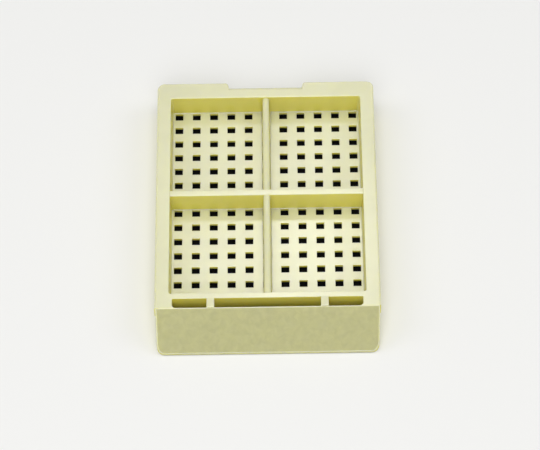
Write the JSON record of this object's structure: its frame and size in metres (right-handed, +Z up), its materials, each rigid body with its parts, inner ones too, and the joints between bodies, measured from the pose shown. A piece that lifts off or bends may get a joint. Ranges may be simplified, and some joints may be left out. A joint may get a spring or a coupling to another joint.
{
  "type": "tissue cassette",
  "caption": "Open base of a tissue cassette: a flat tray split into compartments by crossed dividers, with a perforated floor, a sloping writing panel and a rear latch notch.",
  "frame": {"origin": "on the surface the cassette stands on, under the middle of its outline", "axes": "+X to the right and +Y to the back, away from the sloping writing panel; +Z up out of the open tray"},
  "size_m": [0.0286, 0.0406, 0.0045],
  "materials": {
    "acetal": "moulded yellow acetal, satin, with a fine matt grain on the writing panel"
  },
  "bodies": {
    "root": {"cassette_base": "acetal"}
  },
  "joints": []
}
